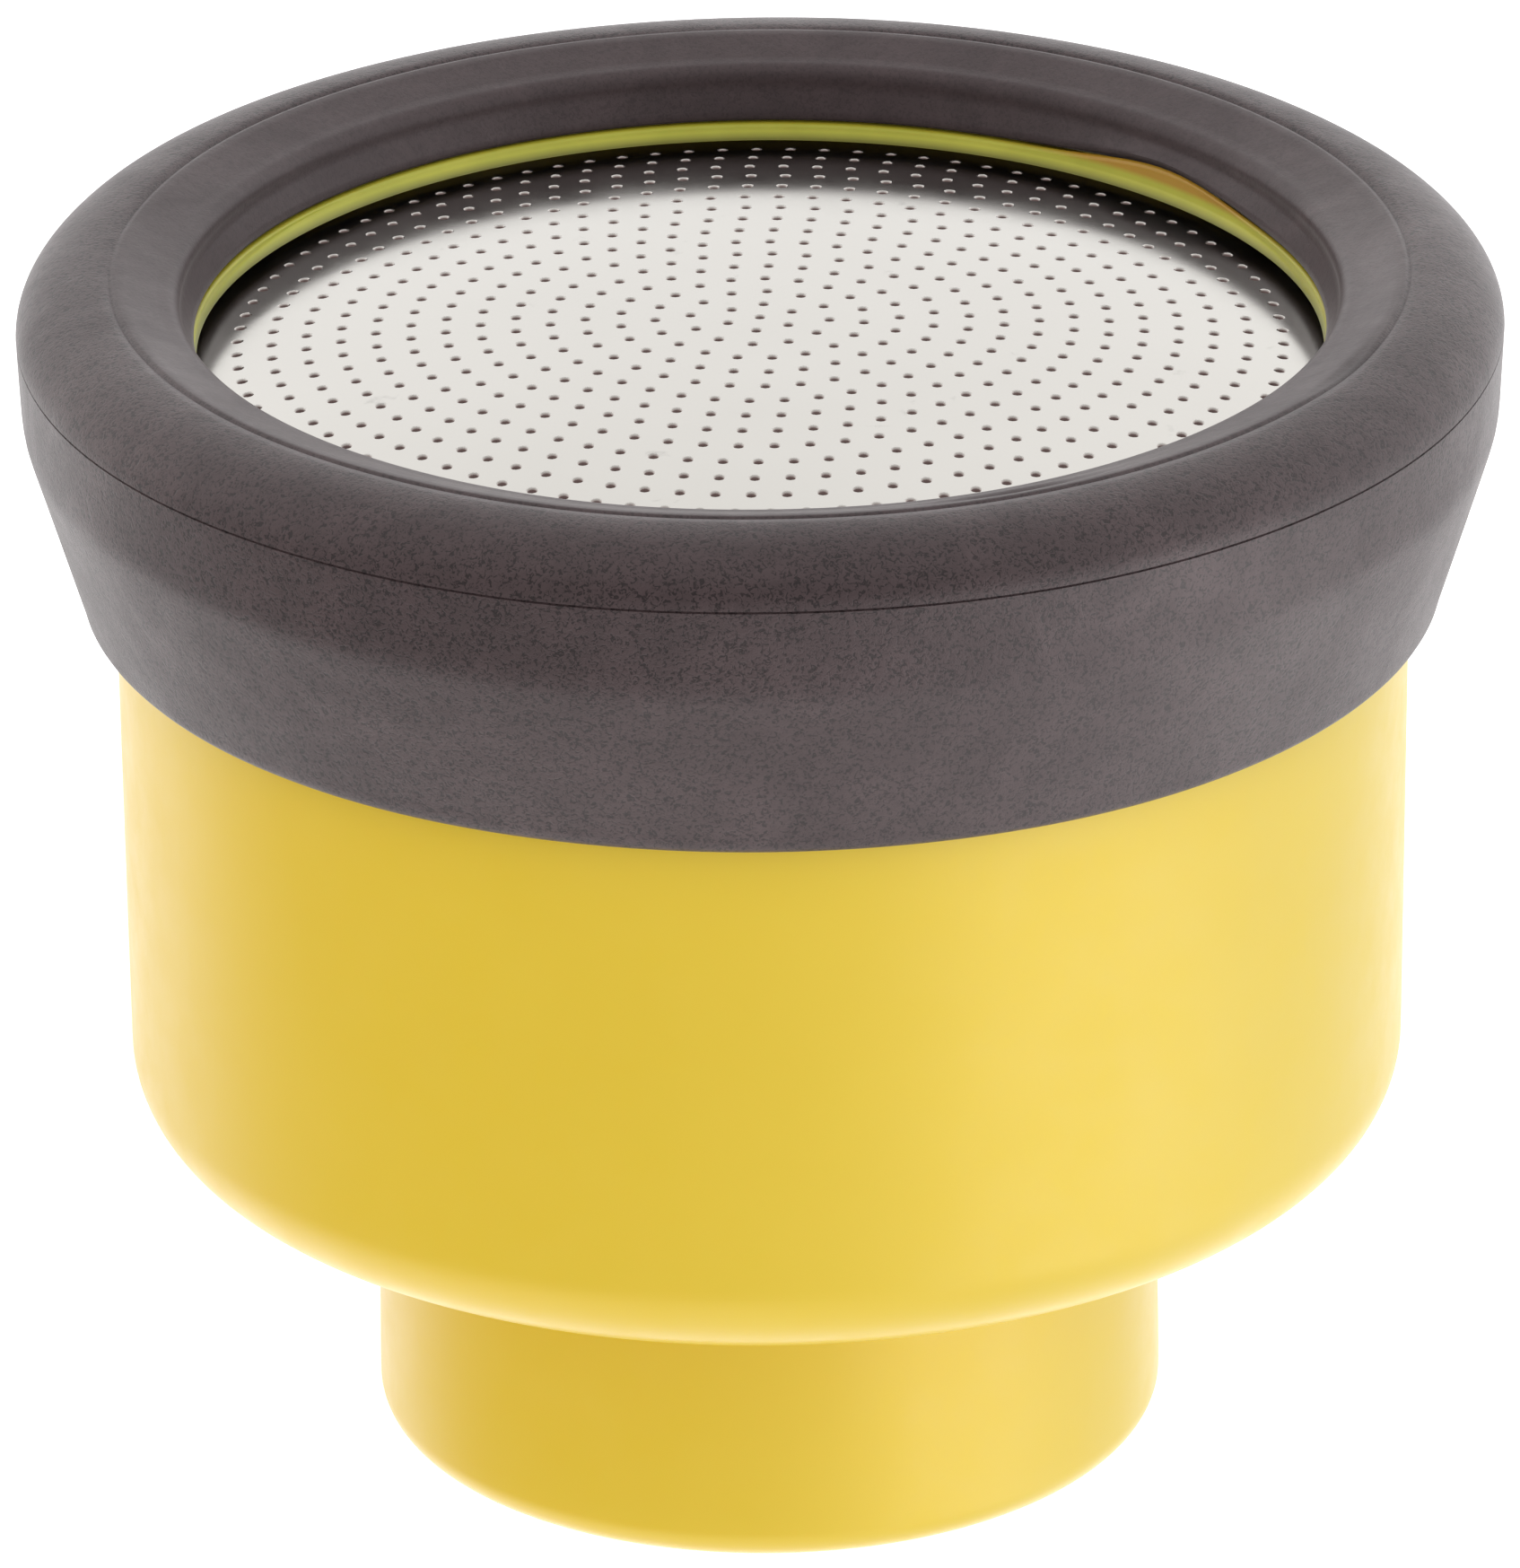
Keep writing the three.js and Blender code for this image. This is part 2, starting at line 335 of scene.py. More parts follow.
def charcoal_rubber():
    """Matt rubber: a worm-like grain, handling marks and a smoother, darker band inside the seam."""
    n = Nodes("collar_rubber")
    x, y, z = n.split()
    radius = n.math("SQRT", n.math("ADD", n.math("MULTIPLY", x, x), n.math("MULTIPLY", y, y)), 0.0)
    turn = n.math("ARCTAN2", y, x)

    def spot(degrees, half_degrees, centre_radius, half_radius):
        """A soft-edged patch on the collar's top."""
        aside = n.math("ABSOLUTE", n.math("SUBTRACT", turn, math.radians(degrees)), 0.0)
        across = n.math("ABSOLUTE", n.math("SUBTRACT", radius, centre_radius * MM), 0.0)
        return n.math("MULTIPLY", n.range(aside, 0.0, math.radians(half_degrees), 1.0, 0.0),
                      n.range(across, 0.0, half_radius * MM, 1.0, 0.0))

    grained = n.range(radius, (SEAM_RADIUS - 0.4) * MM, (SEAM_RADIUS + 0.1) * MM, 0.3, 1.0)
    grain = n.noise(5000.0, 2.0, 0.6, 1.0)
    clouds = n.noise(46.0, 6.0, 0.65)
    marks = n.noise(210.0, 6.0, 0.75, 1.2)
    tone = n.ramp(clouds, [(0.3, (0.040, 0.0265, 0.028)), (0.7, (0.056, 0.0385, 0.0395))])
    speck = n.grey(grain, [(0.40, 0.42), (0.49, 1.12)])
    rubbed = n.grey(marks, [(0.42, 1.0), (0.72, 1.35)])
    smudge = n.math("ADD", spot(RUB_DEGREES, 9.0, SEAM_RADIUS - 0.2, 0.7),
                    spot(FOLD_DEGREES, 8.0, SEAM_RADIUS - 0.6, 0.5))
    colour = n.mix(1.0, tone, n.mix(grained, (1.0, 1.0, 1.0), speck), "MULTIPLY")
    colour = n.mix(1.0, colour, rubbed, "MULTIPLY")
    n.link(n.mix(n.math("MULTIPLY", smudge, 0.7), colour, (0.022, 0.015, 0.015)),
           n.shader.inputs["Base Color"])
    n.link(n.range(n.math("ADD", clouds, n.math("MULTIPLY", marks, 0.6)), 0.5, 1.1, 0.52, 0.34),
           n.shader.inputs["Roughness"])
    n.set(specular_ior_level=0.31, sheen_weight=0.15, sheen_roughness=0.28, sheen_tint=(1.0, 0.97, 0.97))
    n.bump([(n.math("MULTIPLY", grain, grained), 0.5, 0.00006), (n.noise(700.0, 4.0, 0.6), 0.22, 0.00012)])
    return n.material


def stainless_steel():
    """Rolled sheet with faint stains and a fine haze. The walls of the drilled holes are dull and brown."""
    n = Nodes("plate_steel")
    x, y, z = n.split()
    square = n.math("ADD", n.math("MULTIPLY", x, x), n.math("MULTIPLY", y, y))
    fall = n.math("MULTIPLY", square, DOME_SQUARE / MM)
    rim_fall = n.math("MULTIPLY", n.math("MULTIPLY", square, square), DOME_FOURTH / MM**3)
    surface = n.math("SUBTRACT", n.math("SUBTRACT", PLATE_CROWN * MM, fall), rim_fall)
    depth = n.math("SUBTRACT", surface, z)
    bored = n.range(depth, 0.00001, 0.00011, 0.0, 1.0)
    underside = n.range(depth, 0.00046, 0.00049, 0.0, 1.0)
    wall = n.math("SUBTRACT", bored, underside)
    clouds = n.noise(60.0, 4.0, 0.6)
    sheet = n.ramp(clouds, [(0.3, (0.452, 0.436, 0.408)), (0.7, (0.474, 0.458, 0.430))])
    stain = n.grey(n.noise(420.0, 5.0, 0.7), [(0.66, 1.0), (0.76, 0.82)])
    n.link(n.mix(wall, n.mix(1.0, sheet, stain, "MULTIPLY"), (0.17, 0.105, 0.095)),
           n.shader.inputs["Base Color"])
    n.link(n.math("SUBTRACT", 1.0, wall), n.shader.inputs["Metallic"])
    haze = n.range(n.noise(240.0, 5.0, 0.65), 0.3, 0.7, 0.12, 0.17)
    n.link(n.math("MAXIMUM", haze, n.math("MULTIPLY", wall, 0.6)), n.shader.inputs["Roughness"])
    n.bump([(n.noise(130.0, 2.0, 0.5), 0.012, 0.0001)])
    return n.material


def lime_plastic():
    """Yellow-green clamp ring, stained orange-brown along its upper edge, with painted shade darkening its
    foot.
    """
    n = Nodes("ring_plastic")
    z = n.split()[2]
    edge = n.range(z, (LIP_Z - 0.16) * MM, (LIP_Z + 0.12) * MM, 0.0, 0.9)
    tone = n.ramp(n.noise(180.0, 4.0, 0.6), [(0.3, (0.40, 0.40, 0.028)), (0.7, (0.50, 0.49, 0.045))])
    # painted shade: the ring's foot, low under the collar's lip, is darkened towards olive-black
    foot = n.range(z, (LIP_Z - 0.72) * MM, (LIP_Z - 0.42) * MM, 0.75, 0.0)
    colour = n.mix(foot, n.mix(edge, tone, (0.42, 0.21, 0.012)), (0.10, 0.10, 0.012))
    n.link(colour, n.shader.inputs["Base Color"])
    n.set(roughness=0.42, subsurface_weight=0.1, subsurface_scale=0.001)
    n.bump([(n.noise(700.0, 3.0, 0.5), 0.1, 0.00005)])
    return n.material


def black_rubber():
    n = Nodes("seal_rubber")
    n.link(n.ramp(n.noise(300.0), [(0.3, (0.014, 0.014, 0.014)), (0.7, (0.026, 0.026, 0.025))]),
           n.shader.inputs["Base Color"])
    n.link(n.range(n.noise(900.0), 0.3, 0.7, 0.6, 0.75), n.shader.inputs["Roughness"])
    n.bump([(n.noise(2400.0), 0.3, 0.00006)])
    return n.material


def white_plastic():
    n = Nodes("insert_plastic")
    n.link(n.ramp(n.noise(90.0), [(0.3, (0.66, 0.65, 0.60)), (0.7, (0.72, 0.71, 0.67))]),
           n.shader.inputs["Base Color"])
    n.link(n.range(n.noise(500.0), 0.3, 0.7, 0.38, 0.5), n.shader.inputs["Roughness"])
    n.bump([(n.noise(1200.0), 0.1, 0.00005)])
    return n.material


# Body shell ---------------------------------------------------------------------------------------

BODY_FLOOR = 15.1  # underside of the cup
SEAT_Z = 13.1


def thread_height(angle, z):
    """How far the hose thread stands into the bore, from 0 at the root to 1 at the crest."""
    turns = (z - THREAD_START) / THREAD_PITCH - angle / (2 * math.pi)
    fraction = turns - math.floor(turns + 0.5)
    flank = min(1.0, max(0.0, (0.42 - abs(fraction)) / 0.27))
    rise = min(1.0, max(0.0, (z - THREAD_START + 0.4) / 1.2), max(0.0, (THREAD_END + 0.4 - z) / 1.2))
    return flank * rise


def body_warp(angle, radius, z):
    if radius > THREAD_ROOT + 0.01 or radius < THREAD_ROOT - 0.01 or z > THREAD_END + 1:
        return radius, z
    return radius - THREAD_DEPTH * thread_height(angle, z), z


def make_body(material):
    neck, neck_top = 18.2, 18.05
    corner = 4.2
    side = BODY_RADIUS - 0.3
    outline = [
        (14.3, 0.0),
        *arc(neck - 1.6, 1.6, 1.6, -90, 0, 12),
        *line((neck, 2.4), (neck_top, BODY_FLOOR - 0.6), 8),
        *arc(neck_top + 0.6, BODY_FLOOR - 0.6, 0.6, 180, 90, 5),
        *line((neck_top + 1.2, BODY_FLOOR), (side - corner, BODY_FLOOR), 4),
        *arc(side - corner, BODY_FLOOR + corner, corner, -90, 0, 20),
        *line((side + 0.01, BODY_FLOOR + corner + 1), (BODY_RADIUS, body_high.z - 1), 12),
        *arc(BODY_RADIUS - 0.8, body_high.z - 0.8, 0.8, 0, 90, 5),
        *arc(27.5 + 0.2, body_high.z - 0.2, 0.2, 90, 180, 2),
        (27.5, 51.35),
        (26.2, 51.35),
        (26.2, 44.0),
        (25.4, 44.0),
        *line((25.3, 43.0), (25.0, 22.0), 4),
        *arc(22.6, 20.1, 2.4, 0, -90, 8),
        (9.9, 17.7),
        (9.6, 17.4),
        (9.6, SEAT_Z),
        (THREAD_ROOT, SEAT_Z),
        *line((THREAD_ROOT, 12.0), (THREAD_ROOT, 0.7), 110),
        (THREAD_ROOT, 0.7),
    ]
    body = revolved("body_shell_skin", outline, warp=body_warp)
    finish_piece(body, "body_shell", "head", material)
    return body


# Bumper collar ------------------------------------------------------------------------------------

GRIP_RADIUS = BODY_RADIUS + 0.2
BORE_RADIUS = 26.3
LIP_RADIUS = 25.72  # the bore narrows to this at its lower edge
LIP_Z = 53.66
RING_CLEARANCE = 26.35  # outside this the collar's underside lies over the clamp ring
GAPE_DEGREES = 43.0  # the lip rides up here and shows more of the clamp ring
GAPE_HEIGHT = 0.7
GAPE_FULL_RADIUS = 25.9  # the lift is full inside this and fades outside it
GAPE_TOP_Z = 55.3
PARTING_Z = 54.2
CREASE_Z = 50.0


def groove(radius, z, depth, width, lean):
    """A fine line moulded into the outside, with its lips at z - width and z + width."""
    return [
        (radius - lean, z - width),
        (radius - depth * 0.8, z - width * 0.6),
        (radius - depth, z),
        (radius - depth * 0.8, z + width * 0.6),
        (radius, z + width),
    ]


def collar_outline():
    top = collar_high.z
    low = collar_low.z
    roll = 0.62
    shoulder_width, shoulder_height = 3.9, top - PARTING_Z
    return [
        (GRIP_RADIUS, low + roll + 0.5),
        *arc(GRIP_RADIUS + roll, low + roll, roll, 180, 335, 12),
        *line((31.18, low + 0.75), (33.36, CREASE_Z - 0.7), 14),
        (33.36, CREASE_Z - 0.7),
        (33.46, CREASE_Z - 0.35),
        (33.55, CREASE_Z),
        (33.61, CREASE_Z + 0.4),
        *line((33.65, CREASE_Z + 0.9), (COLLAR_RADIUS - 0.01, PARTING_Z - 0.2), 8),
        *groove(COLLAR_RADIUS, PARTING_Z, 0.1, 0.055, 0.01),
        *ellipse_arc(COLLAR_RADIUS - shoulder_width, PARTING_Z, shoulder_width, shoulder_height, 3, 88, 30),
        (SEAM_RADIUS + 0.12, top - 0.03),
        (SEAM_RADIUS + 0.04, top - 0.12),
        (SEAM_RADIUS - 0.04, top - 0.12),
        (SEAM_RADIUS - 0.14, top - 0.02),
        (SEAM_RADIUS - 0.3, top - 0.01),
        *line((SEAM_RADIUS - 0.6, top - 0.07), (27.2, 56.22), 16),
        *arc(BORE_RADIUS + 0.8, 55.4, 0.8, 100, 180, 10),
        *line((BORE_RADIUS, 55.2), (LIP_RADIUS, LIP_Z + 0.3), 5),
        *arc(LIP_RADIUS + 0.3, LIP_Z + 0.3, 0.3, 180, 270, 4),
        (RING_CLEARANCE, LIP_Z + 0.1),
        (RING_CLEARANCE, 53.95),
        (GRIP_RADIUS - 0.4, 53.95),
        (GRIP_RADIUS, 53.5),
        *line((GRIP_RADIUS, 52.0), (GRIP_RADIUS, low + roll + 1.0), 6),
    ]


def bell(value, centre, width):
    return math.exp(-(((value - centre) / width) ** 2))


def bell_round(angle, degrees, width):
    """A soft bump of 1 at an angle round the axis."""
    aside = (math.degrees(angle) - degrees + 180) % 360 - 180
    return bell(aside, 0.0, width)


def gape_lift(angle, radius, outer_radius):
    """How far the lip, and the clamp ring under it, ride up. It fades to nothing at outer_radius."""
    share = min(1.0, max(0.0, (outer_radius - radius) / (outer_radius - GAPE_FULL_RADIUS)))
    return GAPE_HEIGHT * share * bell_round(angle, GAPE_DEGREES, 11)


def collar_warp(angle, radius, z):
    """Soft rubber is never quite true: slow waves, a rubbed dent, a fold and a gaping lip."""
    place = Vector((2.2 * math.cos(angle), 2.2 * math.sin(angle), z * 0.12))
    moved_radius = radius + 0.05 * noise.noise(place)
    moved_z = z + 0.04 * noise.noise(place + Vector((7, 3, 1)))
    if z > 56.0 and radius < SEAM_RADIUS + 1:
        filled = max(bell_round(angle, 95, 20), bell_round(angle, 176, 8))
        moved_z += 0.09 * filled * bell(radius, SEAM_RADIUS, 0.08)
        moved_z -= 0.22 * bell_round(angle, RUB_DEGREES, 7) * bell(radius, SEAM_RADIUS - 0.3, 0.4)
        moved_z -= 0.14 * bell_round(angle, FOLD_DEGREES, 7) * bell(radius, SEAM_RADIUS - 0.9, 0.25)
        moved_z += 0.09 * bell_round(angle, FOLD_DEGREES, 8) * bell(radius, SEAM_RADIUS - 1.5, 0.3)
    if z < GAPE_TOP_Z:
        lowness = min(1.0, (GAPE_TOP_Z - z) / (GAPE_TOP_Z - LIP_Z - 0.3))
        moved_z += lowness * gape_lift(angle, radius, RING_CLEARANCE)
    return moved_radius, moved_z


def make_collar(material):
    collar = revolved("bumper_collar_skin", collar_outline(), steps=360, warp=collar_warp, sharp_degrees=50)
    finish_piece(collar, "bumper_collar", "collar", material)
    return collar


# Face plate ---------------------------------------------------------------------------------------


def hole_centres():
    places = [(0.0, 0.0)]
    for ring in range(1, HOLE_RINGS + 1):
        count = math.floor(2 * math.pi * ring + 0.4)
        for index in range(count):
            angle = FIRST_HOLE + 2 * math.pi * index / count
            places.append((ring * HOLE_PITCH * math.cos(angle), ring * HOLE_PITCH * math.sin(angle)))
    return places


def circle(centre, radius, steps, phase=0.0):
    return [(centre[0] + radius * math.cos(phase + 2 * math.pi * step / steps),
             centre[1] + radius * math.sin(phase + 2 * math.pi * step / steps)) for step in range(steps)]


def perforated_sheet(radius, centres, hole_radius, sides, edge_steps):
    """Flat round sheet with gaps at the holes: (points, triangles). The edge's points come first."""
    points = []
    edges = []
    loops = [circle((0, 0), radius, edge_steps)]
    loops += [circle(centre, hole_radius, sides) for centre in centres]
    for loop in loops:
        start = len(points)
        points += loop
        edges += [(start + step, start + (step + 1) % len(loop)) for step in range(len(loop))]
    wanted = [Vector(point) for point in points]
    _, _, triangles, origins, _, _ = geometry.delaunay_2d_cdt(wanted, edges, [], 0, 1e-7)
    source = [ids[0] for ids in origins]

    def hole_of(vertex):
        return (source[vertex] - edge_steps) // sides

    kept = [tuple(source[v] for v in triangle) for triangle in triangles
            if min(source[v] for v in triangle) < edge_steps or len({hole_of(v) for v in triangle}) > 1]
    return points, kept


def between_loops(first, second):
    """Faces that join two loops of the same length."""
    count = len(first)
    return [(first[step], second[step], second[(step + 1) % count], first[(step + 1) % count])
            for step in range(count)]


def drilled_disc(radius, centres, hole_radius, low, high, sides=24, edge_steps=96):
    """A flat disc with straight holes: (vertices, faces)."""
    flat, triangles = perforated_sheet(radius, centres, hole_radius, sides, edge_steps)
    under = len(flat)
    vertices = [(x, y, high) for x, y in flat] + [(x, y, low) for x, y in flat]
    faces = list(triangles) + [tuple(under + v for v in reversed(triangle)) for triangle in triangles]
    loops = [range(edge_steps)]
    loops += [range(edge_steps + n * sides, edge_steps + (n + 1) * sides) for n in range(len(centres))]
    for loop in loops:
        upper = list(loop)
        lower = [under + v for v in loop]
        outside = loop.start == 0
        faces += between_loops(upper, lower) if outside else between_loops(lower, upper)
    return vertices, faces


def dome_normal(x, y):
    """Upward direction of the dome at a point."""
    slope = 2 * DOME_SQUARE + 4 * DOME_FOURTH * (x * x + y * y)
    return Vector((slope * x, slope * y, 1)).normalized()


def sink_hole(vertices, normals, centre, rim):
    """Adds a dimple and a bore below the loop rim. Gives their faces and the bore's lowest loop."""
    top = plate_height(math.hypot(*centre))
    tilt = dome_normal(*centre)
    faces = []
    for radius, depth, degrees in HOLE_LEVELS:
        start = len(vertices)
        lean_in = math.radians(degrees)
        for x, y in circle(centre, radius, HOLE_SIDES):
            lean = (x - centre[0]) * tilt.x + (y - centre[1]) * tilt.y
            vertices.append((x, y, top - lean - depth))
            inward = Vector((centre[0] - x, centre[1] - y, 0)).normalized()
            normals.append((tilt * math.cos(lean_in) + inward * math.sin(lean_in)).normalized())
        loop = list(range(start, start + HOLE_SIDES))
        faces += between_loops(loop, rim)
        rim = loop
    return faces, rim


def plate_edge(vertices, normals, inner, lower):
    """Adds the flat rim outside the dome, from the loop inner round to the loop lower. Gives its faces."""
    top = plate_height(DOME_RADIUS)
    bottom = top - PLATE_THICKNESS
    outline = [(PLATE_RADIUS - 0.1, top), (PLATE_RADIUS, top - 0.1),
               (PLATE_RADIUS, bottom + 0.1), (PLATE_RADIUS - 0.1, bottom)]
    faces = []
    for radius, z in outline:
        start = len(vertices)
        upward = Vector((0, 0, 1 if z > (top + bottom) / 2 else -1))
        for x, y in circle((0, 0), radius, EDGE_STEPS):
            vertices.append((x, y, z))
            outward = Vector((x, y, 0)).normalized()
            normals.append(upward if radius < PLATE_RADIUS else (outward + upward * 0.3).normalized())
        loop = list(range(start, start + EDGE_STEPS))
        faces += between_loops(inner, loop)
        inner = loop
    return faces + between_loops(inner, lower)


def make_plate(material):
    """The domed sheet with its fine holes, drilled through from dimple to underside."""
    centres = hole_centres()
    points, triangles = perforated_sheet(DOME_RADIUS, centres, DIMPLE_RADIUS, HOLE_SIDES, EDGE_STEPS)
    vertices = [(x, y, plate_height(math.hypot(x, y))) for x, y in points]
    normals = [dome_normal(x, y) for x, y in points]
    faces = list(triangles)
    bores = []
    for number, centre in enumerate(centres):
        start = EDGE_STEPS + number * HOLE_SIDES
        hole_faces, lowest = sink_hole(vertices, normals, centre, list(range(start, start + HOLE_SIDES)))
        faces += hole_faces
        bores.append(lowest)
    under = len(vertices)
    vertices += [(x, y, plate_height(math.hypot(x, y)) - PLATE_THICKNESS) for x, y in points]
    normals += [-dome_normal(x, y) for x, y in points]
    faces += [tuple(under + vertex for vertex in reversed(triangle)) for triangle in triangles]
    for number, lowest in enumerate(bores):
        start = under + EDGE_STEPS + number * HOLE_SIDES
        faces += between_loops(list(range(start, start + HOLE_SIDES)), lowest)
    faces += plate_edge(vertices, normals, list(range(EDGE_STEPS)), list(range(under, under + EDGE_STEPS)))
    plate = new_object("face_plate_sheet", vertices, faces)
    plate.data.normals_split_custom_set_from_vertices(normals)
    finish_piece(plate, "face_plate", "face", material)
    return plate


# Small pieces -------------------------------------------------------------------------------------


def ring_warp(angle, radius, z):
    """The clamp ring's inner lip wanders a little."""
    wander = 0.05 * noise.noise(Vector((1.6 * math.cos(angle), 1.6 * math.sin(angle), 0.4)))
    share = min(1.0, max(0.0, (z - ring_low.z) / (ring_high.z - ring_low.z)))
    if z > ring_low.z + 0.35:
        z += gape_lift(angle, radius, RING_CLEARANCE - 0.15)
    if radius < LIP_RADIUS:
        radius = min(LIP_RADIUS, radius + 0.3 * math.cos(angle) ** 8)
    return radius - wander * share, z


def make_plate_ring(material):
    """A steep inner wall, a flat top under the collar's lip and a raised outer flange."""
    outer = ring_high.x
    foot = plate_high.z - (PLATE_CROWN - plate_height(DOME_RADIUS)) + 0.03
    lip_top = LIP_Z - 0.08
    outline = [
        (25.34, foot),
        *line((25.6, foot), (outer, foot + 0.12), 4),
        (outer, ring_low.z + 0.2),
        (outer, ring_high.z - 0.1),
        (outer - 0.1, ring_high.z),
        (26.55, ring_high.z),
        (26.5, lip_top),
        (26.1, lip_top),
        *ellipse_arc(25.95, lip_top - 0.3, 0.32, 0.3, 90, 160, 7),
        *line((25.63, lip_top - 0.24), (25.34, foot + 0.04), 6),
    ]
    ring = revolved("plate_ring_lip", outline, warp=ring_warp)
    finish_piece(ring, "plate_ring", "face", material)
    ring.visible_glossy = False  # the sheet would mirror it as a broad green band
    return ring


def make_gasket(material):
    gasket = new_object("plate_gasket_ring",
                        *rounded_ring(26.4, gasket_high.x, gasket_low.z, gasket_high.z, 0.15))
    finish_piece(gasket, "plate_gasket", "head", material)


def make_washer(material):
    washer = new_object("hose_washer_ring",
                        *rounded_ring(8.0, washer_high.x, washer_low.z, washer_high.z, 0.4))
    finish_piece(washer, "hose_washer", "head", material)


def rib(angle, outer, hub_bottom, base, base_top):
    """A radial rib of the plate support. Its top follows the dome."""
    half = 0.75
    under = PLATE_THICKNESS + 0.3
    side = [(3.0, hub_bottom), (outer + 0.6, base), (outer + 0.6, base_top)]
    side += [(r, plate_height(r) - under) for r in (outer - 0.6, 20, 16, 12, 8, 3.0)]
    count = len(side)
    cosine, sine = math.cos(angle), math.sin(angle)
    vertices = []
    for across in (-half, half):
        vertices += [(r * cosine - across * sine, r * sine + across * cosine, z) for r, z in side]
    faces = [tuple(range(count)), tuple(reversed(range(count, 2 * count)))]
    faces += between_loops(list(range(count)), list(range(count, 2 * count)))
    return vertices, faces


def make_support(material):
    ring_outer = support_high.x
    ring_inner = ring_outer - 1.6
    base, base_top = support_low.z, support_low.z + 1.8
    hub_bottom = base + 3.75
    shapes = [
        rounded_ring(ring_inner, ring_outer, base, base_top, 0.3, 160),
        rounded_ring(0, 4.0, hub_bottom, plate_height(4.0) - PLATE_THICKNESS - 0.3, 0.4, 48),
    ]
    shapes += [rib(math.radians(60 * n), ring_inner, hub_bottom, base, base_top) for n in range(6)]
    support = new_object("plate_support_spider", *together(shapes))
    finish_piece(support, "plate_support", "head", material)


def around(count, radius, phase=0.0):
    return circle((0, 0), radius, count, phase)


def make_diffuser(material):
    top = diffuser_high.z
    bottom = top - 1.8
    shapes = [drilled_disc(diffuser_high.x, around(12, 7.5), 1.0, bottom, top)]
    shapes += [rounded_ring(0, 1.6, diffuser_low.z, bottom + 0.5, 0.2, 32, place)
               for place in around(4, 11.6, math.pi / 4)]
    diffuser = new_object("diffuser_baffle", *together(shapes))
    finish_piece(diffuser, "diffuser_disc", "head", material)


def make_strainer(material):
    holes = [(0.0, 0.0), *around(6, 3.2), *around(12, 6.4, math.pi / 12)]
    strainer = new_object("inlet_strainer_disc", *drilled_disc(
        strainer_high.x, holes, 1.1, strainer_low.z, strainer_high.z))
    finish_piece(strainer, "inlet_strainer", "head", material)


# Scene --------------------------------------------------------------------------------------------

LENS = 355.5
CAMERA_TILT = math.radians(24.0)
CAMERA_ROLL = math.radians(0.55)
CAMERA_DISTANCE = 0.7036
AIM_ASIDE = -0.0002
AIM_DROP = 0.02123
FLOOR_GAP = 0.00003


def add_camera():
    data = bpy.data.cameras.new("photo_camera")
    data.lens = LENS
    data.sensor_width = 36
    camera = bpy.data.objects.new("photo_camera", data)
    bpy.context.scene.collection.objects.link(camera)
    forward = Vector((0, math.cos(CAMERA_TILT), -math.sin(CAMERA_TILT)))
    right = Vector((1, 0, 0))
    up = right.cross(forward)
    turned_right = right * math.cos(CAMERA_ROLL) - up * math.sin(CAMERA_ROLL)
    turned_up = up * math.cos(CAMERA_ROLL) + right * math.sin(CAMERA_ROLL)
    plate_centre = Vector((0, 0, PLATE_CROWN * MM))
    place = plate_centre - forward * CAMERA_DISTANCE + right * AIM_ASIDE - up * AIM_DROP
    camera.matrix_world = Matrix((
        (turned_right.x, turned_up.x, -forward.x, place.x),
        (turned_right.y, turned_up.y, -forward.y, place.y),
        (turned_right.z, turned_up.z, -forward.z, place.z),
        (0, 0, 0, 1),
    ))
    data.clip_start = 0.05
    data.clip_end = 20
    bpy.context.scene.camera = camera


def add_floor():
    """White paper, lit evenly and seen only from above."""
    reach = 6.0
    mesh = bpy.data.meshes.new("studio_floor")
    mesh.from_pydata([(-reach, -reach, 0), (reach, -reach, 0), (reach, reach, 0), (-reach, reach, 0)],
                     [], [(0, 1, 2, 3)])
    floor = bpy.data.objects.new("studio_floor", mesh)
    floor.location.z = cad_box[0].z - FLOOR_GAP
    n = Nodes("floor_paper")
    n.set(base_color=(0.6, 0.6, 0.6), roughness=0.9, emission_color=(1, 1, 1), emission_strength=0.95)
    clear = n.tree.nodes.new("ShaderNodeBsdfTransparent")
    one_sided = n.tree.nodes.new("ShaderNodeMixShader")
    backface = n.tree.nodes.new("ShaderNodeNewGeometry").outputs["Backfacing"]
    n.link(backface, one_sided.inputs["Fac"])
    n.link(n.shader.outputs["BSDF"], one_sided.inputs[1])
    n.link(clear.outputs["BSDF"], one_sided.inputs[2])
    n.link(one_sided.outputs["Shader"], n.tree.nodes["Material Output"].inputs["Surface"])
    floor.data.materials.append(n.material)
    floor.visible_diffuse = False
    floor.visible_glossy = False
    floor.visible_shadow = False
    bpy.context.scene.collection.objects.link(floor)


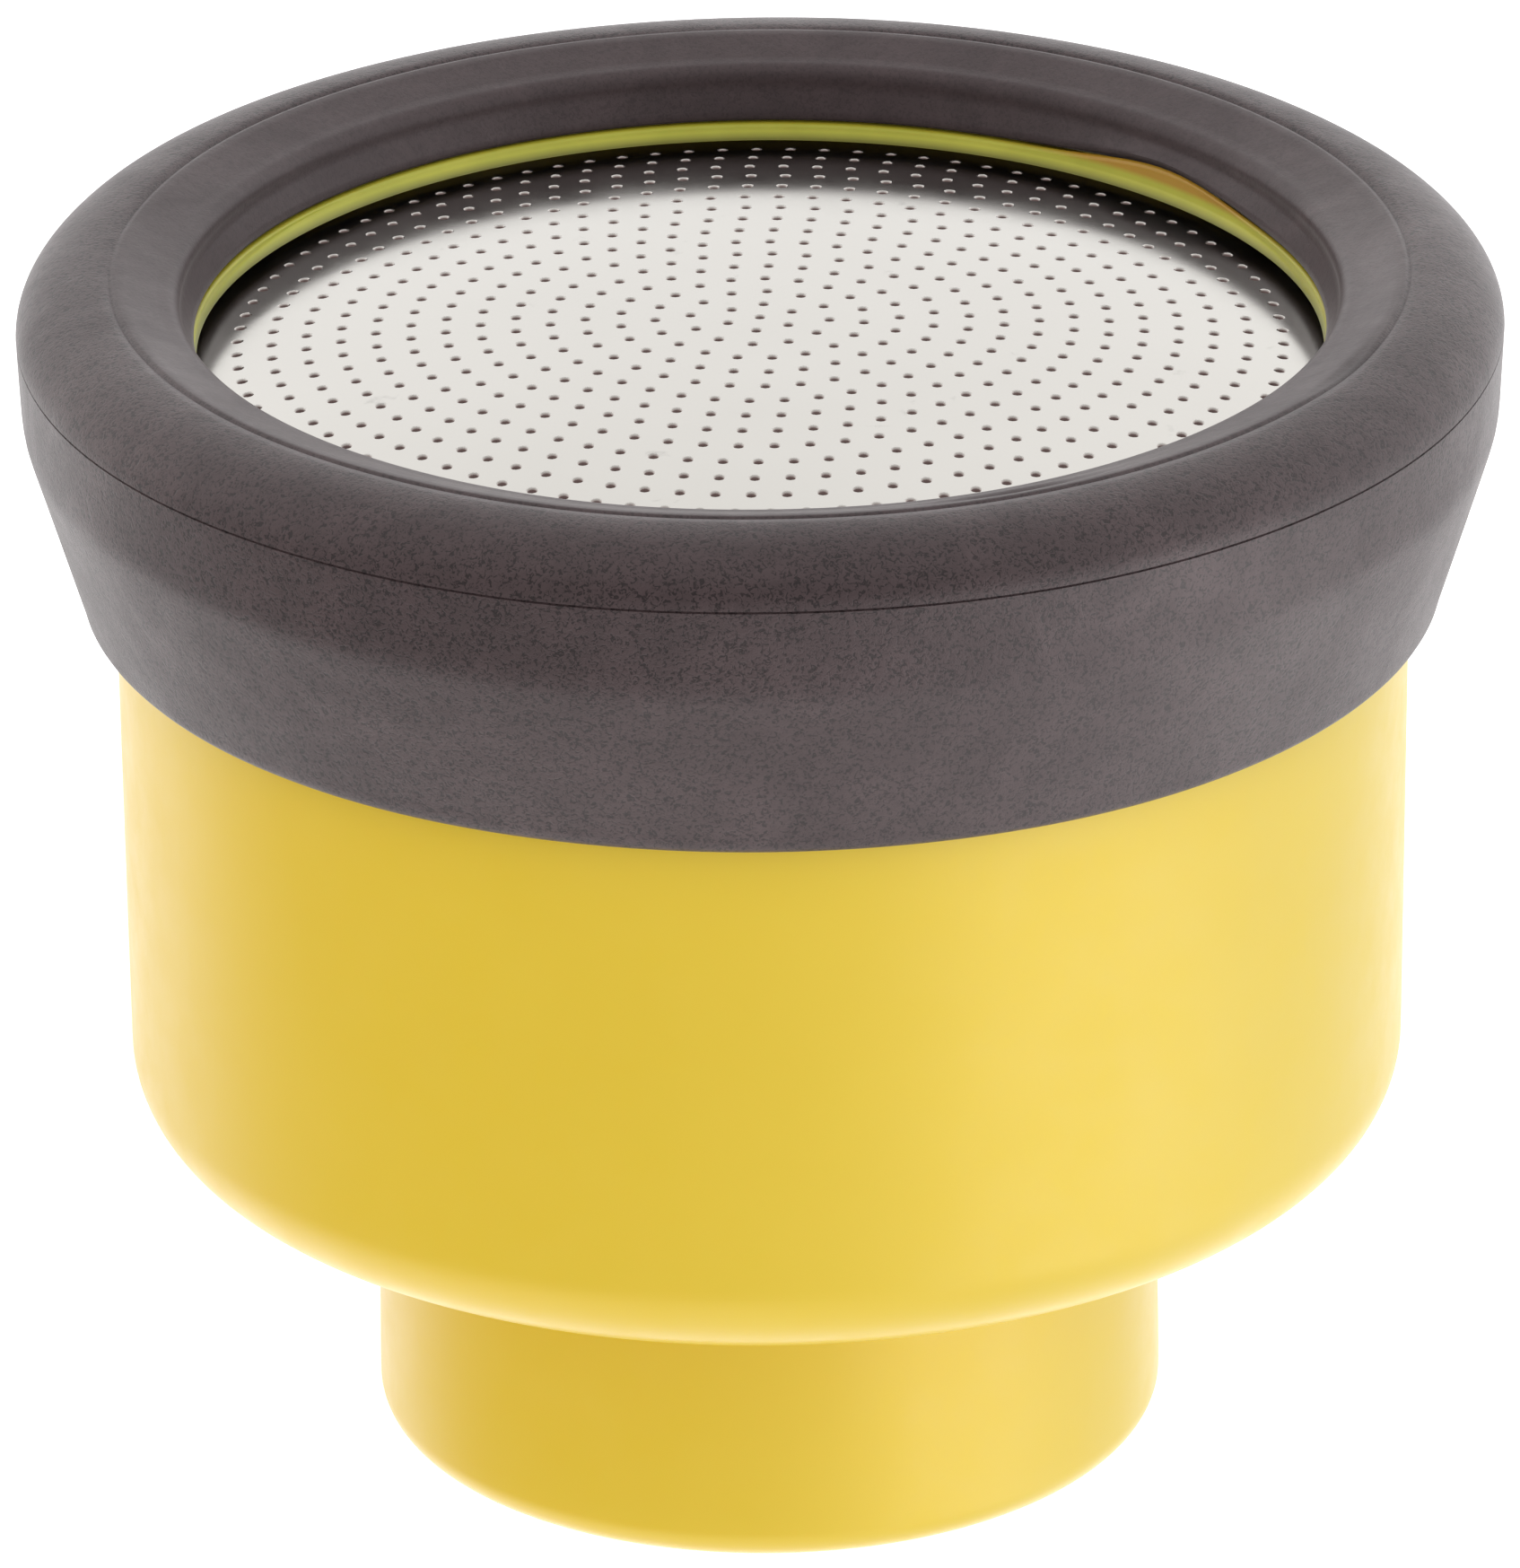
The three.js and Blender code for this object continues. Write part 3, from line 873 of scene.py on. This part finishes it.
# What a shiny surface sees of the studio: (degrees round from the front towards the right, brightness).
LOW_VIEW = [(-180, 1.55), (-125, 1.8), (-105, 0.9), (-80, 0.25), (-35, 0.3), (0, 0.75), (20, 1.5), (32, 2.9),
            (43, 4.4), (75, 4.2), (97, 2.5), (120, 1.7), (180, 1.55)]
HIGH_VIEW = [(-180, 1.5), (-110, 2.0), (-60, 0.9), (-25, 0.15), (0, 0.05), (25, 0.2), (60, 1.5), (110, 2.2),
             (180, 1.5)]
OVERHEAD = (1.1, 1.1, 1.1)
UNDERNEATH = (2.1, 2.1, 2.1)
LIGHT_LEFT = (1.0, 0.93, 0.9)
LIGHT_RIGHT = (1.0, 1.03, 1.06)
BRIGHTEST = 5.0


def add_world():
    """A white light tent. Its reflections have a dark front and a large bright panel at the right."""
    world = bpy.data.worlds.new("studio")
    world.use_nodes = True
    bpy.context.scene.world = world
    g = Graph(world.node_tree, "Generated")
    x, y, z = g.split()
    turn = g.math("ARCTAN2", x, g.math("MULTIPLY", y, -1.0))
    place = g.range(turn, -math.pi, math.pi, 0.0, 1.0)

    def brightness(view):
        return g.ramp(place, [((degrees + 180) / 360, (value / BRIGHTEST,) * 3) for degrees, value in view])

    def height_share(start, end):
        return g.range(z, math.sin(math.radians(start)), math.sin(math.radians(end)), 0.0, 1.0)

    sides = g.mix(height_share(-12, 12), brightness(LOW_VIEW), brightness(HIGH_VIEW))
    bright = g.mix(1.0, sides, (BRIGHTEST,) * 3, "MULTIPLY")
    reflected = g.mix(height_share(-30, -48), g.mix(height_share(35, 60), bright, OVERHEAD), UNDERNEATH)
    rays = world.node_tree.nodes.new("ShaderNodeLightPath").outputs
    soft = g.mix(g.range(x, -0.7, 0.7, 0.0, 1.0), LIGHT_LEFT, LIGHT_RIGHT)
    soft = g.mix(height_share(20, -20), soft, g.mix(1.0, soft, (1.15,) * 3, "MULTIPLY"))
    lit = g.mix(rays["Is Glossy Ray"], soft, reflected)
    background = world.node_tree.nodes["Background"]
    g.link(g.mix(rays["Is Camera Ray"], lit, (1.0, 1.0, 1.0)), background.inputs["Color"])
    background.inputs["Strength"].default_value = 1.0


def main():
    bpy.context.scene.view_settings.view_transform = "Standard"
    yellow = yellow_plastic()
    rubber = charcoal_rubber()
    steel = stainless_steel()
    lime = lime_plastic()
    black = black_rubber()
    white = white_plastic()
    make_body(yellow)
    make_collar(rubber)
    make_plate(steel)
    make_plate_ring(lime)
    make_gasket(black)
    make_washer(black)
    make_support(white)
    make_diffuser(white)
    make_strainer(white)
    add_camera()
    add_floor()
    add_world()


main()
